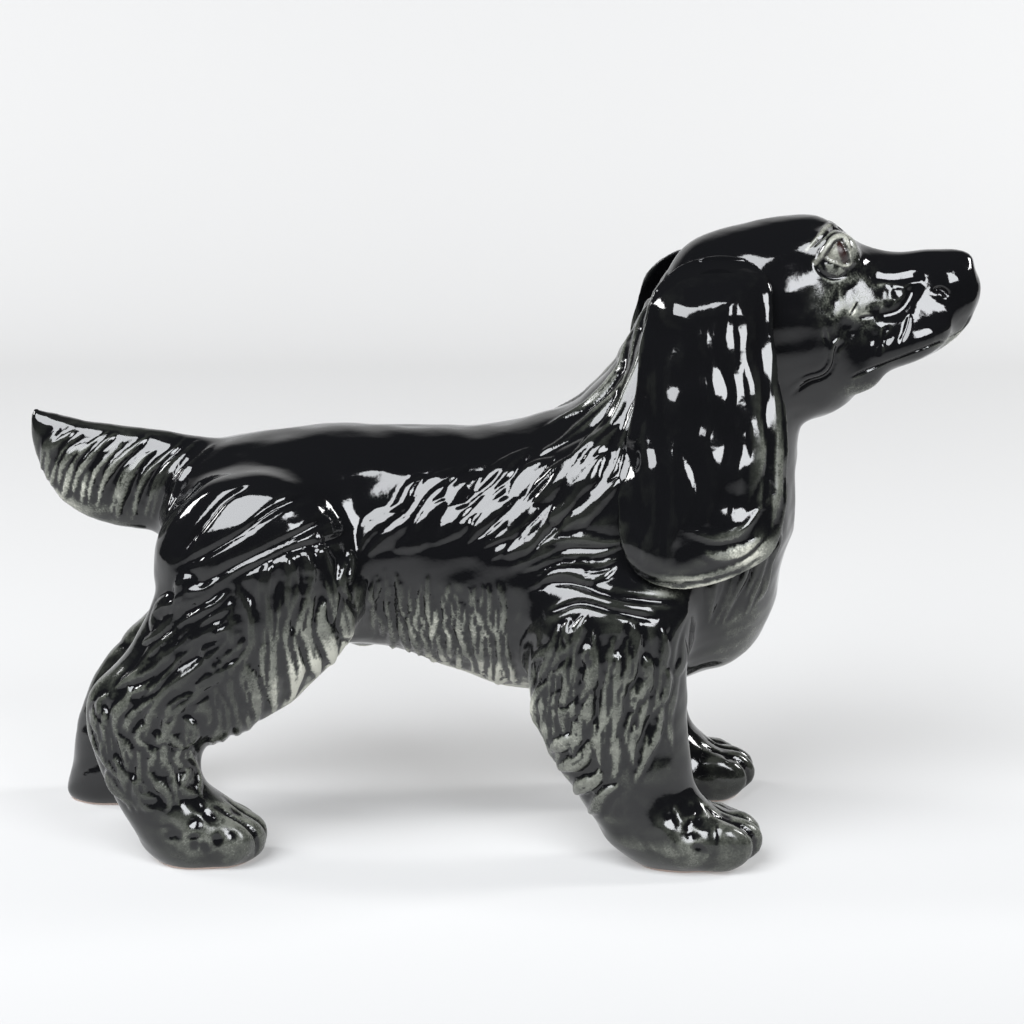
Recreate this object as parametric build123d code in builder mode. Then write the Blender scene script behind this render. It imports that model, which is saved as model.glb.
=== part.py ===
"""A standing spaniel figurine in glazed earthenware, as the workshop puts it together.

Hollow slip-cast pieces are cut flat, luted with a thin layer of slip and fired as one. The trunk
is one casting, with short stubs for the neck, the tail and the legs. The head with its upper neck,
the tail and the four legs are castings of their own, and the ears are solid pressed leaves.

Frame: +X is the way the dog faces, +Y is its left, +Z is up. The origin is on the table, under the
middle of the figurine's box. Lengths are millimetres and angles are degrees.
"""

from build123d import *
from collections import namedtuple
from math import cos, hypot, radians, sin
import os

# Driving sizes of the whole figurine
length = 312.0  # tail tip to nose
width = 104.0  # over the fore paws
height = 213.0  # table to crown

# Thicknesses, each chosen by itself
wall = 4.5  # cast wall of the trunk, head and legs
slip = 0.8  # luting slip left in each joint
ear_thickness = 7.0  # the pressed leaf
ear_edge = 2.5  # rounding of the leaf's outer edge
vent_diameter = 6.0  # lets steam out of the hollow while it is fired

# Stance
fore_stance = 34.0  # middle plane to the middle of a foreleg
hind_stance = 31.0  # middle plane to the middle of a hind leg
left_fore_step = 5.0  # how far the left fore paw stands ahead of the right one
left_hind_step = -40.0  # and the left hind paw

# Joints
leg_lean = 27.0  # a leg's joint plane leans in under the barrel
neck_lean = 10.1  # the neck's plane falls towards the throat
tail_lean = 28.5  # the tail's plane leans forward at the top
ear_lean = 11.0  # the ear hangs outwards, clear of neck and chest
joint_gap = 0.5  # a leg's joint plane stands this far off the barrel, and a cut this far past its piece
ear_gap = 0.6  # air between the hanging leaf and the body
ear_pad_diameter = 20.0  # the stub on the head that carries the leaf
ear_stub_depth = 8.0  # how far the stub reaches back into the head's wall

# The stations below are read on a nominal figurine, and these ratios carry them to the sizes above
nominal_length, nominal_width, nominal_height = 312.0, 104.0, 213.0
kx, ky, kz = length / nominal_length, width / nominal_width, height / nominal_height

# Rings across the dog: x, lowest z, highest z, half width
TRUNK = [
    (-114, 92, 116, 12),
    (-108, 82, 131, 26),
    (-95, 73, 137, 33),
    (-78, 69, 139.5, 36),
    (-60, 67, 141.5, 36),
    (-43, 68, 141.5, 34),
    (-20, 61, 141, 35),
    (0, 54, 143, 37),
    (25, 50, 148, 38),
    (50, 51, 150, 38),
    (70, 57, 148, 35),
    (84, 69, 143, 28),
    (92, 84, 136, 18),
    (96, 97, 124, 8),
]
HEAD = [
    (50, 168, 192, 11),
    (58, 152, 203, 19),
    (72, 146, 209, 24),
    (86, 143, 211.5, 25),
    (98, 142, 213, 23.5),
    (108, 146, 210, 20),
    (116, 151, 204, 16.5),
    (126, 157, 200.8, 15),
    (138, 162, 200.5, 14),
    (148, 167, 200.5, 12),
    (153, 172, 199, 9.5),
    (156, 181, 194, 5.5),
]
TAIL = [
    (-156, 130, 146, 3.5),
    (-149, 118, 145, 6),
    (-138, 110, 143, 8),
    (-124, 107, 141, 9.5),
    (-112, 104.5, 139.5, 10.5),
    (-100, 106, 138, 12),
    (-88, 112, 137, 15),
]
# Level rings, from the lowest up: z, rearmost x, foremost x, outward shift from the stance, half width
NECK = [
    (100, 4, 92, 0, 30),
    (118, 2, 94, 0, 32),
    (135, 8, 97, 0, 31),
    (150, 21, 96, 0, 29),
    (165, 36, 93, 0, 26),
    (180, 44, 91, 0, 23),
    (194, 50, 88, 0, 19),
]
FORELEG = [
    (0, 45, 80, 1, 14.5),
    (4, 41, 83, 1, 16.5),
    (11, 35, 82, 1, 17),
    (19, 30, 72, 1, 15.5),
    (27, 24, 63, 1, 14),
    (38, 17, 61, 1, 14),
    (52, 11, 60, 0, 15.5),
    (72, 8, 60, 0, 17),
    (88, 9, 61, -1, 18),
    (95, 14, 60, -3, 14),
]
HIND_LEG = [
    (0, -114, -85, 0, 13),
    (4, -118, -80, 0, 15),
    (12, -122, -81, 0, 15.5),
    (20, -126, -92, 0, 14),
    (29, -130, -101, 0, 12.5),
    (40, -134, -97, 0, 13),
    (50, -136, -78, 0, 14),
    (60, -133, -65, 0, 15),
    (72, -123, -54, 0, 16.5),
    (87, -116, -47, 0, 17),
    (102, -111, -47, -1, 16),
    (116, -104, -54, -6, 12),
]
# The ear leaf's outline: x, z, from the front of its root down the front edge and up the rear one
EAR = [
    (82, 196),
    (87, 168),
    (90, 135),
    (87, 112),
    (73, 99),
    (56, 96),
    (42, 103),
    (37, 120),
    (41, 148),
    (46, 178),
    (62, 198),
]

# Places, on the nominal figurine
neck_cut = (25.0, 154.0)  # x, z of the cut at the nape
tail_cut = (-98.0, 139.0)  # x, z of the cut on top of the root
fore_step_height = 95.0  # a stepping leg swings from this height down, and so from the shoulder
hind_step_height = 58.0  # and from the hock
ear_root = (68.0, 187.0)  # x, z of the ear's stub
vent_x = -30.0  # the vent, under the belly

far = 400.0  # longer than the figurine, for the blocks that halve it
right, left = -1, 1  # which way a side lies along Y

# A joint's plane faces the piece that is luted on. across and along are the cut's size on the plane,
# and side is the side of the dog that it stays on, or 0
Joint = namedtuple("Joint", "plane across along side")


def end_shift(n, stations, inset):
    """How far an end ring moves towards the middle, so that a hollow stops short of the skin."""
    return {0: inset, len(stations) - 1: -inset}.get(n, 0)


def form_along_x(stations, inset=0.0):
    """A smooth form through upright oval rings. With an inset it is the hollow inside that form."""
    with BuildPart() as form:
        for n, (x, low, high, half) in enumerate(stations):
            with BuildSketch(Plane.YZ.offset(x * kx + end_shift(n, stations, inset))):
                with Locations((0, (high + low) / 2 * kz)):
                    Ellipse(half * ky - inset, (high - low) / 2 * kz - inset)
        loft()
    return form.part


def form_along_z(stations, stance=0.0, step=0.0, swing=1.0, inset=0.0):
    """A smooth form through level oval rings, on the dog's right. It swings at a height, so that its
    foot stands step ahead."""
    with BuildPart() as form:
        for n, (z, back, front, shift, half) in enumerate(stations):
            centre = ((back + front) / 2 * kx + step * max(0, 1 - z / swing), -(stance + shift) * ky)
            with BuildSketch(Plane.XY.offset(z * kz + end_shift(n, stations, inset))):
                with Locations(centre):
                    Ellipse((front - back) / 2 * kx - inset, half * ky - inset)
        loft()
    return form.part


def body_forms(inset=0.0):
    """The forms that make up everything but the ears. The tail is solid, so it has no hollow."""
    forms = [
        form_along_x(TRUNK, inset),
        form_along_z(NECK, inset=inset),
        form_along_x(HEAD, inset),
        form_along_z(FORELEG, fore_stance, inset=inset),
        form_along_z(HIND_LEG, hind_stance, inset=inset),
        mirror(form_along_z(FORELEG, fore_stance, left_fore_step, fore_step_height, inset), about=Plane.XZ),
        mirror(form_along_z(HIND_LEG, hind_stance, left_hind_step, hind_step_height, inset), about=Plane.XZ),
    ]
    return forms if inset else forms + [form_along_x(TAIL)]


def reach(rings, normal_y, normal_z):
    """How far the widest of some upright rings reaches along a direction across the dog."""
    return max(
        hypot(half * ky * normal_y, (high - low) / 2 * kz * normal_z) + (high + low) / 2 * kz * normal_z
        for x, low, high, half in rings
    )


def leaning_plane(x, lean, rings, gap, side):
    """A plane beside the dog, clear of some rings. It faces up if its lean is positive, else down."""
    normal_y, normal_z = cos(radians(lean)), sin(radians(lean))
    distance = reach(rings, normal_y, normal_z) + gap
    return Plane(
        origin=(x, side * normal_y * distance, normal_z * distance),
        x_dir=(1, 0, 0),
        z_dir=(0, side * normal_y, normal_z),
    )


def leg_joint(stations, step, side):
    """The plane on which a leg is luted to the trunk, clear of the barrel between the leg's edges."""
    back = min(row[1] for row in stations) * kx + min(step, 0)
    front = max(row[2] for row in stations) * kx + max(step, 0)
    beside = [ring for ring in TRUNK if back <= ring[0] * kx <= front]
    plane = leaning_plane((back + front) / 2, -leg_lean, beside, joint_gap, side)
    return Joint(plane, front - back + 2 * joint_gap, far, side)


def beyond(joint, lift=0.0):
    """Everything that a joint's plane faces, or that the plane lifted by some slip faces."""
    with BuildPart() as block:
        with BuildSketch(joint.plane.offset(lift)):
            Rectangle(joint.across, joint.along)
        extrude(amount=far)
        if joint.side:
            split(bisect_by=Plane.XZ, keep=Keep.TOP if joint.side == right else Keep.BOTTOM)
    return block.part


def write(part, name):
    """Gives a piece its name and writes it."""
    part.label = name
    export_step(part, f"parts/{name}.step")


# Joint planes
neck_plane = Plane(
    origin=(neck_cut[0] * kx, 0, neck_cut[1] * kz),
    x_dir=(0, 1, 0),
    z_dir=(sin(radians(neck_lean)), 0, cos(radians(neck_lean))),
)
tail_top = Vector(tail_cut[0] * kx, 0, tail_cut[1] * kz)
tail_down = Vector(-sin(radians(tail_lean)), 0, -cos(radians(tail_lean)))
tail_drops = [
    (Vector(x * kx, 0, z * kz) - tail_top).dot(tail_down) for x, low, high, half in TAIL for z in (low, high)
]
tail_rise, tail_drop = min(tail_drops) - joint_gap, max(tail_drops) + joint_gap
tail_plane = Plane(
    origin=tail_top + tail_down * ((tail_rise + tail_drop) / 2),
    x_dir=(0, 1, 0),
    z_dir=(-cos(radians(tail_lean)), 0, sin(radians(tail_lean))),
)
joints = {
    "head": Joint(neck_plane, far, far, 0),
    "tail": Joint(tail_plane, far, tail_drop - tail_rise, 0),
    "right_foreleg": leg_joint(FORELEG, 0.0, right),
    "left_foreleg": leg_joint(FORELEG, left_fore_step, left),
    "right_hind_leg": leg_joint(HIND_LEG, 0.0, right),
    "left_hind_leg": leg_joint(HIND_LEG, left_hind_step, left),
}

# The right ear's plane clears the head, the neck, the chest and whatever of the leg comes up to it
ear_back, ear_front, ear_foot = min(x for x, z in EAR), max(x for x, z in EAR), min(z for x, z in EAR)
ear_rings = [ring for ring in TRUNK + HEAD if ear_back <= ring[0] <= ear_front]
ear_rings += [(0, z, z, half) for z, back, front, shift, half in NECK]
leg_tops = [row for row in FORELEG if row[0] >= ear_foot]
ear_rings += [(0, z, z, fore_stance + shift + half) for z, back, front, shift, half in leg_tops]
ear_plane = leaning_plane(ear_root[0] * kx, ear_lean, ear_rings, ear_gap, right)


def on_the_ear(x, z):
    """Where a place beside the dog comes on the ear's plane, along its own two directions."""
    return (x - ear_root[0]) * kx, (z * kz - ear_plane.origin.Z) / ear_plane.y_dir.Z


def ear_pad(depth):
    """A round pad at the right ear's root, standing on its plane, or behind it if depth is negative."""
    with BuildPart() as pad:
        with BuildSketch(ear_plane):
            with Locations(on_the_ear(*ear_root)):
                Circle(ear_pad_diameter / 2)
        extrude(amount=depth)
    return pad.part


os.makedirs("parts", exist_ok=True)

# The fired shell before it is divided: the skin less the hollow, with the ears' stubs on the head
with BuildPart() as hollow:
    add(body_forms(wall))

with BuildPart() as shell:
    add(body_forms())
    add(ear_pad(-ear_stub_depth))
    add(mirror(ear_pad(-ear_stub_depth), about=Plane.XZ))
    add(hollow.part, mode=Mode.SUBTRACT)

for name, joint in joints.items():
    with BuildPart() as piece:
        add(shell.part)
        add(beyond(joint, slip), mode=Mode.INTERSECT)
    write(piece.part, name)

    with BuildPart() as seam:
        add(shell.part)
        add(beyond(joint), mode=Mode.INTERSECT)
        add(beyond(joint, slip), mode=Mode.SUBTRACT)
    write(seam.part, f"{name}_slip")

with BuildPart() as trunk:
    add(shell.part)
    for joint in joints.values():
        add(beyond(joint), mode=Mode.SUBTRACT)
    with BuildSketch(Plane.XY):
        with Locations((vent_x * kx, 0)):
            Circle(vent_diameter / 2)
    extrude(amount=height / 2, mode=Mode.SUBTRACT)
write(trunk.part, "trunk")

with BuildPart() as ear:
    with BuildSketch(ear_plane.offset(slip)):
        with BuildLine():
            Spline(*[on_the_ear(x, z) for x, z in EAR], periodic=True)
        make_face()
    extrude(amount=ear_thickness)
    outer_face = ear.faces().sort_by(Axis(ear_plane.origin, ear_plane.z_dir))[-1]
    fillet(outer_face.edges(), radius=min(ear_edge, ear_thickness / 2))
write(ear.part, "right_ear")
write(mirror(ear.part, about=Plane.XZ), "left_ear")
write(ear_pad(slip), "right_ear_slip")
write(mirror(ear_pad(slip), about=Plane.XZ), "left_ear_slip")
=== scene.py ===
# %% [markdown]
# # A black spaniel in glazed earthenware
# The figurine is a hollow casting about 31 cm long. Its hair was modelled in the clay, and a black
# glaze runs over everything: it lies thick and black in the hollows and breaks thin and grey on
# the ridges. So this lesson is mostly modelling: a body blocked in from simple forms, hair laid on
# it lock by lock, and one material that reads how high each point of the skin stands.
#
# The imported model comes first. It gives the pieces, their places and the joint planes.

# %% Load the frame
import bmesh
import bpy
import math
import numpy as np
from mathutils import Matrix, Vector
from mathutils.bvhtree import BVHTree


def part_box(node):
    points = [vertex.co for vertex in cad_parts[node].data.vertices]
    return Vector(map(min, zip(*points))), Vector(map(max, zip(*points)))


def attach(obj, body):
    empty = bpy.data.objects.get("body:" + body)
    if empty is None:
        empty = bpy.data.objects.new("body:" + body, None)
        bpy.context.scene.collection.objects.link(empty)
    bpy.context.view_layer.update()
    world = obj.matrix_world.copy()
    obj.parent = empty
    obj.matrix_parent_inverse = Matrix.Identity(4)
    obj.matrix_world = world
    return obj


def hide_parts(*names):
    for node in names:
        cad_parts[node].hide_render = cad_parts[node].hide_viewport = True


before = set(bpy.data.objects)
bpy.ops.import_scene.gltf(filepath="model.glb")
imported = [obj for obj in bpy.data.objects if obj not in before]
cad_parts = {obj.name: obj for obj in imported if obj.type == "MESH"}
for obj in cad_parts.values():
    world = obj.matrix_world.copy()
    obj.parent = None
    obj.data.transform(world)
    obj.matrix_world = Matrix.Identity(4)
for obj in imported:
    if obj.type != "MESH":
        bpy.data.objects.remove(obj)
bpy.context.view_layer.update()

MM = 0.001
print("nodes:", ", ".join(sorted(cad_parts)))

# %% [markdown]
# ## Where the viewer stands
# A long lens at about three quarters of a metre, a little above the dog's head and looking down on
# it. The place of the eye is wanted early, because the guides for the hair are drawn as they look
# from there and are thrown onto the clay from the same point.

# %% Viewpoint
EYE = Vector((2.3, -760.0, 284.0))
TILT_DOWN = math.radians(12.75)
LENS = 81.2

camera_data = bpy.data.cameras.new("camera")
camera_data.lens = LENS
camera_data.sensor_width = 36.0
camera_data.clip_start, camera_data.clip_end = 0.01, 20.0
camera = bpy.data.objects.new("camera", camera_data)
camera.location = EYE * MM
camera.rotation_euler = (math.pi / 2 - TILT_DOWN, 0.0, 0.0)
bpy.context.scene.collection.objects.link(camera)
bpy.context.scene.camera = camera
print("the camera looks down by", round(math.degrees(TILT_DOWN), 1), "degrees")

# %% [markdown]
# ## Blocking in
# A modeller starts with rolls and pellets of clay pressed together. The body could be sculpted with a
# brush instead, but a roll can be placed by its measures. Here a roll is a row of ovals bridged into
# one tube, and a pellet is a squashed ball. All lengths are millimetres, X runs towards the nose,
# the right side is at negative Y, and the table is at zero. Only a few rings are given for each
# roll: a curve through them makes the ones in between.

# %% Rolls and pellets
ACROSS_X = Matrix(((0, 0, 1, 0), (1, 0, 0, 0), (0, 1, 0, 0), (0, 0, 0, 1)))
LEVEL = Matrix.Identity(4)


def eased(rows, steps):
    """The same rows with more of them in between, on a smooth curve through every one."""
    rows = np.array(rows, float)
    rows = np.vstack([2 * rows[0] - rows[1], rows, 2 * rows[-1] - rows[-2]])
    t = (np.arange(steps) / steps)[:, None]
    spans = [
        b + 0.5 * t * (c - a + t * (2 * a - 5 * b + 4 * c - d + t * (3 * (b - c) + d - a)))
        for a, b, c, d in zip(rows, rows[1:], rows[2:], rows[3:])
    ]
    return np.vstack(spans + [rows[-2:-1]])


def roll(clay, rings, turn):
    """A closed tube through ovals. A ring is its centre x, y, z and its two half sizes."""
    ends, loop = [], None
    for x, y, z, across, up in rings:
        place = Matrix.Translation((x, y, z)) @ turn @ Matrix.Diagonal((across, up, 1, 1))
        oval = bmesh.ops.create_circle(clay, segments=48, radius=1.0, matrix=place)["verts"]
        ring = list({edge for vert in oval for edge in vert.link_edges})
        if loop:
            bmesh.ops.bridge_loops(clay, edges=loop + ring)
        else:
            ends.append(ring)
        loop = ring
    for end in (ends[0], loop):
        bmesh.ops.edgeloop_fill(clay, edges=end)


def roll_along_x(clay, stations):
    """A roll in the middle plane. A station is x, lowest z, highest z and half width."""
    rows = eased(stations, 4)
    roll(clay, [(x, 0, (low + high) / 2, half, (high - low) / 2) for x, low, high, half in rows], ACROSS_X)


def roll_along_z(clay, stations, stance, side):
    """An upright roll beside the middle plane. A station is z, rear x, front x, shift out, half width."""
    rings = [
        ((back + front) / 2, side * (stance + shift), z, (front - back) / 2, half)
        for z, back, front, shift, half in eased(stations, 4)
    ]
    roll(clay, rings, LEVEL)


def pellet(clay, centre, radii, pitch=0.0, side=0):
    """A squashed ball, tipped nose up by pitch degrees, on one side or in the middle."""
    x, y, z = centre
    tip = Matrix.Rotation(-math.radians(pitch), 4, "Y")
    place = Matrix.Translation((x, side * y, z)) @ tip @ Matrix.Diagonal((*radii, 1))
    bmesh.ops.create_uvsphere(clay, u_segments=40, v_segments=24, radius=1.0, matrix=place)


# %% [markdown]
# The rolls: barrel, neck, skull with muzzle, tail, and the four legs.

# %% Rolls of the body
BARREL = [
    (-114, 92, 116, 12), (-108, 82, 131, 26), (-95, 73, 137, 32), (-78, 70, 140, 35),
    (-60, 67.5, 142, 33), (-43, 67, 142, 30.5), (-20, 59.5, 141.3, 33.5), (0, 52.5, 142.8, 36),
    (25, 50, 149, 36), (50, 52, 150, 36), (70, 59, 148, 32), (84, 75, 144, 26), (92, 92, 138, 18),
    (97, 106, 129, 8),
]
NECK = [
    (98, 4, 92, 0, 29), (118, 1, 96, 0, 31), (135, 8, 98, 0, 30.5), (150, 24, 96.5, 0, 28),
    (165, 38, 93, 0, 25), (180, 46, 90, 0, 22), (194, 54, 86, 0, 18),
]
SKULL = [
    (51, 172, 189, 9), (58, 154, 200.5, 17), (70, 147, 207, 21.5), (84, 144, 210.3, 22.8),
    (97, 143.5, 212.4, 21.6), (106, 148.5, 210.3, 19.4), (113, 153, 205, 17.6),
    (120, 157.5, 201.2, 15.8), (130, 161, 200.2, 13.2), (141, 165.5, 200.6, 10.2),
    (149, 170.5, 200.6, 8.2), (154, 176.5, 198.5, 6),
]
TAIL = [
    (-158.2, 134, 147.4, 2), (-154.5, 123.5, 146.8, 4), (-148.5, 115.5, 145.4, 5.8),
    (-139, 109.8, 143.6, 7.4), (-126, 106.6, 141.8, 8.6), (-113, 104.4, 139.8, 9.6),
    (-102, 104, 138, 11.5), (-90, 108, 137, 14),
]
FORELEG = [
    (-1.5, 47, 77, 0, 8), (1, 43, 80, 0, 11), (4, 39.5, 82.5, 0.5, 14), (10, 33, 83, 1, 15.6),
    (18, 28, 72.5, 1, 14.6), (26, 23, 64, 1, 13.4), (38, 15.5, 61, 1, 13.6), (52, 9, 60, 0, 15),
    (72, 7, 60, 0, 16.4), (88, 9, 61, -2, 16.5), (102, 16, 60, -8, 14),
]
HIND_LEG = [
    (-1.5, -114, -88, 0, 8), (1, -117.5, -83.5, 0, 11), (4, -120.5, -80.5, 0, 13.2),
    (11, -124, -80, 0, 14.5), (19, -128, -90, 0, 13.4), (28, -132.5, -100, 0, 12),
    (40, -136.5, -98, 0, 12.4), (50, -138.6, -78, 0, 13.4), (60, -136, -65, 0, 14.6),
    (72, -124.5, -54, 0, 16), (87, -116, -46.5, 0, 16.6), (102, -111, -46, -2, 16),
    (118, -103, -54, -9, 13),
]
FORE_STANCE, HIND_STANCE = 34.0, 31.0

clay = bmesh.new()
roll_along_x(clay, BARREL)
roll_along_z(clay, NECK, 0, 1)
roll_along_x(clay, SKULL)
roll_along_x(clay, TAIL)
for side in (-1, 1):
    roll_along_z(clay, FORELEG, FORE_STANCE, side)
    roll_along_z(clay, HIND_LEG, HIND_STANCE, side)
print("rolls:", len(clay.verts), "points")

# %% [markdown]
# The pellets fill the rolls out: haunches, shoulders, the apron of the chest, cheeks, brows, lips,
# throat, nose, and four toes to a paw. A pellet is its centre, its three radii and its pitch.

# %% Pellets
PAIRS = [
    ((-81, 28, 100), (33, 19.5, 32), 8),
    ((-98, 27, 100), (17, 17, 22), 0),
    ((-80, 18, 117), (34, 14, 16), 4),
    ((34, 24, 110), (30, 14.5, 34), 0),
    ((38, 33, 80), (19, 14.5, 20), 0),
    ((94, 13.5, 176), (18, 8.2, 20), 0),
    ((106, 11.5, 201), (8.5, 7, 7.4), -18),
    ((126, 9.2, 170.5), (21, 8.2, 8.4), 17),
    ((143, 4.4, 185), (12, 6.2, 9.5), 0),
    ((114, 10, 164), (12, 7, 10), 10),
]
MIDDLES = [
    ((68, 0, 96), (25, 31, 38), 0),
    ((68, 0, 75), (15, 18, 17), 0),
    ((102, 0, 154.5), (16, 14, 10), 12),
    ((144, 0, 187.5), (13, 10.6, 12.8), 0),
    ((30, 0, 134), (30, 24, 17), 20),
    ((-48, 0, 69), (6, 5, 4), 0),
]
TOE_SPREADS = (-10.4, -3.6, 3.6, 10.4)
for side in (-1, 1):
    for centre, radii, pitch in PAIRS:
        pellet(clay, centre, radii, pitch, side)
    for spread in TOE_SPREADS:
        set_back = 3.5 if abs(spread) > 5 else 0
        pellet(clay, (73.4 - set_back, FORE_STANCE + 0.5 + spread, 9.2), (12.2, 4.5, 8.6), 0, side)
        pellet(clay, (-91.0 - set_back, HIND_STANCE + 0.9 * spread, 8.8), (11.4, 4.1, 8), 0, side)
for centre, radii, pitch in MIDDLES:
    pellet(clay, centre, radii, pitch)
print("with the pellets:", len(clay.verts), "points")

# %% [markdown]
# ## One skin
# Pressing the forms together leaves sharp notches where they meet. Booleans would join them too, but
# they keep the notches. A voxel remesh takes the outside of them all as one even skin, and then the
# notches are filled as a thumb would fill them: a point may move outwards to the mean of its
# neighbours, never inwards, so nothing gets thinner.

# %% One skin
VOXEL = 0.00084
BLOCK_VOXEL = 0.0015


def remeshed(bm, name, voxel):
    """The outer skin of all the forms in a bmesh, in metres, as an object of even quads."""
    bmesh.ops.scale(bm, vec=(MM, MM, MM), verts=bm.verts)
    mesh = bpy.data.meshes.new(name)
    bm.to_mesh(mesh)
    bm.free()
    rough = bpy.data.objects.new(name, mesh)
    bpy.context.scene.collection.objects.link(rough)
    skin = rough.modifiers.new("skin", "REMESH")
    skin.mode, skin.voxel_size = "VOXEL", voxel
    shown = rough.evaluated_get(bpy.context.evaluated_depsgraph_get())
    done = bpy.data.meshes.new_from_object(shown)
    rough.modifiers.clear()
    rough.data = done
    bpy.data.meshes.remove(mesh)
    return rough


def points_of(mesh):
    """A mesh's points in millimetres, its edges and its normals, as arrays."""
    points = np.empty(len(mesh.vertices) * 3)
    mesh.vertices.foreach_get("co", points)
    edges = np.empty(len(mesh.edges) * 2, np.int32)
    mesh.edges.foreach_get("vertices", edges)
    normals = np.empty(len(mesh.vertices) * 3, np.float32)
    mesh.vertex_normals.foreach_get("vector", normals)
    return points.reshape(-1, 3) / MM, edges.reshape(-1, 2), normals.reshape(-1, 3).astype(float)


def put_back(mesh, points):
    """Writes points in millimetres back into a mesh."""
    mesh.vertices.foreach_set("co", (points * MM).ravel())
    mesh.update()


def mean_of_neighbours(values, edges):
    """For each point the mean of what its neighbours hold, for one column or several."""
    count = len(values)
    columns = values.reshape(count, -1)
    degree = np.bincount(edges.ravel(), minlength=count)
    first, second = edges.T
    total = [
        np.bincount(first, column[second], count) + np.bincount(second, column[first], count)
        for column in columns.T
    ]
    return (np.array(total).T / np.maximum(degree, 1)[:, None]).reshape(values.shape)


def fill_notches(obj, rounds):
    """Moves points out to the mean of their neighbours, where that is outwards."""
    for _ in range(rounds):
        points, edges, normals = points_of(obj.data)
        lift = ((mean_of_neighbours(points, edges) - points) * normals).sum(1)
        put_back(obj.data, points + normals * np.maximum(lift, 0)[:, None])


def smooth(obj, rounds, share=0.5):
    """Evens a skin out, a step in and a slightly longer step out, so that it keeps its size."""
    points, edges, _ = points_of(obj.data)
    for _ in range(rounds):
        for step in (share, -share * 1.05):
            points += step * (mean_of_neighbours(points, edges) - points)
    put_back(obj.data, points)


block = remeshed(clay, "block", BLOCK_VOXEL)
fill_notches(block, 45)
smooth(block, 10)
clay = bmesh.new()
clay.from_mesh(block.data)
bmesh.ops.scale(clay, vec=(1 / MM, 1 / MM, 1 / MM), verts=clay.verts)
base_points = [vert.co.copy() for vert in clay.verts]
base_faces = [[vert.index for vert in face.verts] for face in clay.faces]
bpy.data.objects.remove(block)
dog = remeshed(clay, "dog", VOXEL)
smooth(dog, 3)
print("skin:", len(dog.data.vertices), "points,", len(dog.data.polygons), "faces")

# %% [markdown]
# ## Drawing in the clay
# The hair is drawn rather than built. Strands of their own would suit fur, but this hair is part of
# the clay, so the skin itself moves. A guide line gives the way the coat runs, and the locks
# between two guides are mixtures of them, each a little displaced by a seeded dice. A lock is a low
# rounded ridge that tapers at both ends; where two of them meet, the higher one wins, which leaves
# the sharp crease between locks by itself. Both sides of the dog are drawn at once, by folding the
# left side over onto the right.

# %% Guides, locks and grooves
dice = np.random.default_rng(11)
NEAR, MIDDLE = -36.0, 0.0


def even(rows, count=17):
    """A smooth curve through rows, as evenly spaced points."""
    curve = eased(rows, 8)
    run = np.concatenate([[0], np.cumsum(np.linalg.norm(np.diff(curve, axis=0), axis=1))])
    wanted = np.linspace(0, run[-1], count)
    return np.array([np.interp(wanted, run, column) for column in curve.T]).T


def seen(path, sheet, skin):
    """Throws places x, z, drawn on an upright sheet beside the dog, onto a skin as the eye sees them."""
    landed = []
    for x, z in path:
        mark = Vector((x, sheet, z))
        landed.append(skin.ray_cast(EYE, (mark - EYE).normalized())[0] or skin.find_nearest(mark)[0])
    return np.array(landed)


def laid(path, skin):
    """Moves places x, y, z to the nearest point of a skin."""
    return np.array([skin.find_nearest(Vector(place))[0] for place in path])


def swayed(path, size, waves, start):
    """A line drawn on the sheet that sways to both sides of itself."""
    run = np.linspace(0, 1, len(path))
    along = np.gradient(path, axis=0)
    along /= np.linalg.norm(along, axis=1)[:, None] + 1e-9
    sway = size * np.sin(2 * np.pi * (waves * run + start))
    return path + sway[:, None] * np.stack([-along[:, 1], along[:, 0]], axis=1)


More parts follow.
